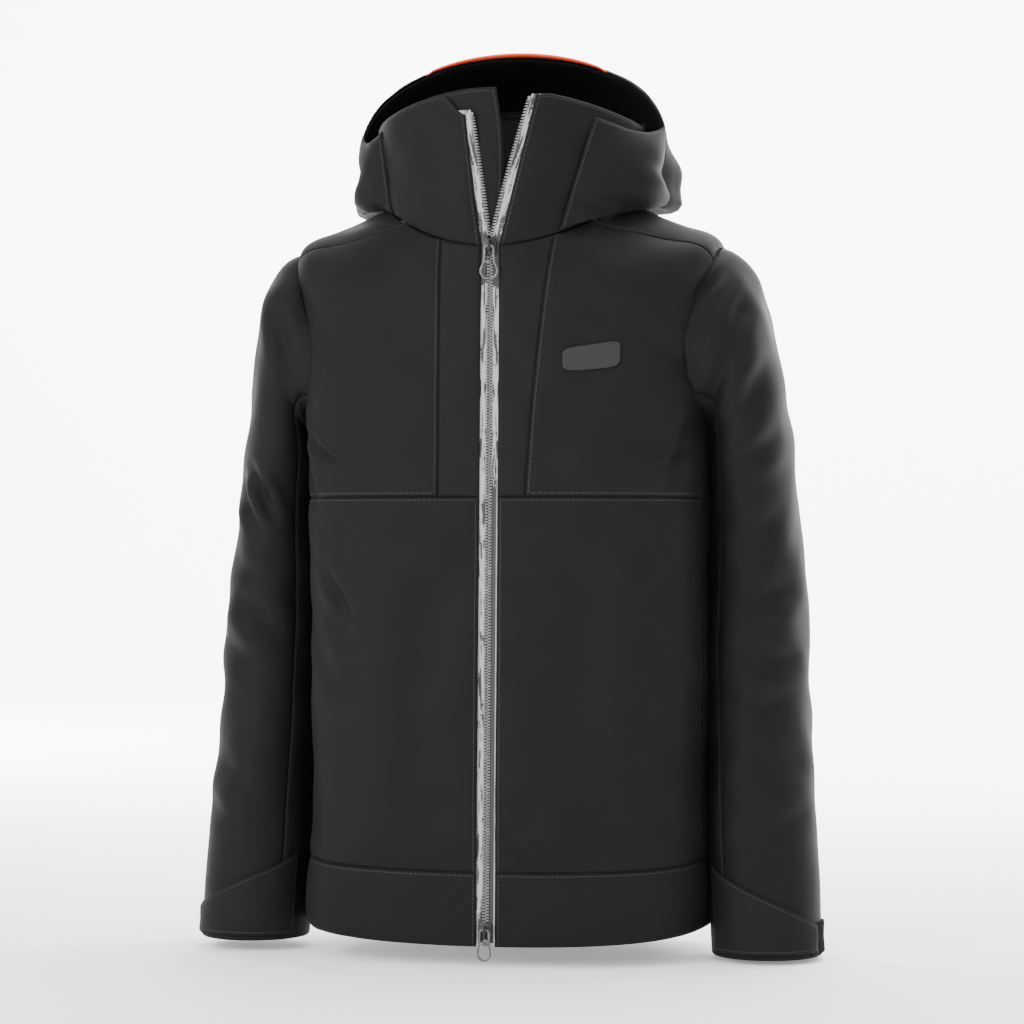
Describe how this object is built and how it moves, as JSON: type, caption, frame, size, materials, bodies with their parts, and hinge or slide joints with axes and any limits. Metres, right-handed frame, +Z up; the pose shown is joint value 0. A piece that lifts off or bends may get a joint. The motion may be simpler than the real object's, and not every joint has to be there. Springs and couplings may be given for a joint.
{
  "type": "ski jacket",
  "caption": "Insulated hooded ski jacket with a two-way front zip, stand collar, shaped sleeves with hook-and-loop cuff tabs, and zipped pockets.",
  "frame": {"origin": "the middle of the gap in the hang loop, inside the back of the neck", "axes": "+X to the wearer's left, -Y out of the front, +Z up"},
  "size_m": [0.5932, 0.3007, 0.8448],
  "materials": {
    "shell": "matt black waterproof face fabric with a slight sheen",
    "lining": "smooth black lining",
    "wadding": "fluffy polyester wadding",
    "zip_tape": "woven tape with a grey and black brushed print",
    "zip_metal": "satin grey",
    "piping": "orange piping",
    "patch": "dark grey bonded patch",
    "hook_and_loop": "black looped pile"
  },
  "bodies": {
    "torso": {"lower_front_right": "shell", "lower_front_left": "shell", "placket_right": "shell", "placket_left": "shell", "chest_right": "shell", "chest_left": "shell", "side_right": "shell", "side_left": "shell", "back": "shell", "yoke": "shell", "hem_front_right": "shell", "hem_front_left": "shell", "hem_back": "shell", "wadding_fronts": "wadding", "wadding_back": "wadding", "lining_front_right": "lining", "lining_front_left": "lining", "lining_back": "lining", "collar_right": "shell", "collar_left": "shell", "collar_back": "shell", "collar_lining": "lining", "chin_guard": "shell", "hood_neck_band": "shell", "storm_flap": "lining", "zip_tape_right": "zip_tape", "zip_tape_left": "zip_tape", "zip_teeth_right": "zip_metal", "zip_teeth_left": "zip_metal", "chest_patch": "patch", "chest_pocket_zip": "zip_tape", "hand_pocket_zip_right": "zip_tape", "hand_pocket_zip_left": "zip_tape", "chest_pocket_bag": "lining", "hand_pocket_bags": "lining", "hang_loop": "lining"},
    "main_slider": {"main_slider": "zip_metal"},
    "main_puller": {"main_puller": "zip_metal"},
    "bottom_slider": {"bottom_slider": "zip_metal"},
    "bottom_puller": {"bottom_puller": "zip_metal"},
    "chest_slider": {"chest_slider": "zip_metal"},
    "hand_slider_right": {"hand_slider_right": "zip_metal"},
    "hand_slider_left": {"hand_slider_left": "zip_metal"},
    "sleeve_right": {"sleeve_upper_right": "shell", "sleeve_under_right": "shell", "sleeve_lining_right": "lining", "cuff_loop_right": "hook_and_loop"},
    "sleeve_left": {"sleeve_upper_left": "shell", "sleeve_under_left": "shell", "sleeve_lining_left": "lining", "cuff_loop_left": "hook_and_loop"},
    "cuff_tab_right": {"cuff_tab_right": "shell"},
    "cuff_tab_left": {"cuff_tab_left": "shell"},
    "hood": {"hood_centre": "shell", "hood_side_right": "shell", "hood_side_left": "shell", "hood_lining": "lining", "hood_piping": "piping"}
  },
  "joints": [
    {"name": "main_zip", "type": "slide", "parent": "torso", "child": "main_slider", "axis": [0, 0.0359, 0.9994], "range_m": [-0.35, 0]},
    {"name": "main_pull", "type": "hinge", "parent": "main_slider", "child": "main_puller", "pos_m": [0, -0.17407, -0.06086], "axis": [-1, 0, 0], "range_deg": [0, 150]},
    {"name": "bottom_zip", "type": "slide", "parent": "torso", "child": "bottom_slider", "axis": [0, 0.0359, 0.9994], "range_m": [0, 0.25]},
    {"name": "bottom_pull", "type": "hinge", "parent": "bottom_slider", "child": "bottom_puller", "pos_m": [0, -0.19646, -0.68486], "axis": [-1, 0, 0], "range_deg": [0, 150]},
    {"name": "chest_zip", "type": "slide", "parent": "torso", "child": "chest_slider", "axis": [0, 0.0359, 0.9994], "range_m": [0, 0.12]},
    {"name": "hand_zip_right", "type": "slide", "parent": "torso", "child": "hand_slider_right", "axis": [0, 0, 1], "range_m": [-0.075, 0]},
    {"name": "hand_zip_left", "type": "slide", "parent": "torso", "child": "hand_slider_left", "axis": [0, 0, 1], "range_m": [-0.075, 0]},
    {"name": "sleeve_right_raise", "type": "hinge", "parent": "torso", "child": "sleeve_right", "pos_m": [-0.199, -0.064, -0.05], "axis": [0, 1, 0], "range_deg": [0, 50]},
    {"name": "sleeve_left_raise", "type": "hinge", "parent": "torso", "child": "sleeve_left", "pos_m": [0.199, -0.064, -0.05], "axis": [0, -1, 0], "range_deg": [0, 50]},
    {"name": "cuff_tab_right_open", "type": "hinge", "parent": "sleeve_right", "child": "cuff_tab_right", "pos_m": [-0.2029, -0.1093, -0.6681], "axis": [0.017, 0.1211, 0.9925], "range_deg": [0, 52]},
    {"name": "cuff_tab_left_open", "type": "hinge", "parent": "sleeve_left", "child": "cuff_tab_left", "pos_m": [0.2029, -0.1093, -0.6681], "axis": [0.017, -0.1211, -0.9925], "range_deg": [0, 52]},
    {"name": "hood_tip_back", "type": "hinge", "parent": "torso", "child": "hood", "pos_m": [0, -0.044, 0], "axis": [-1, 0, 0], "range_deg": [0, 12]}
  ]
}
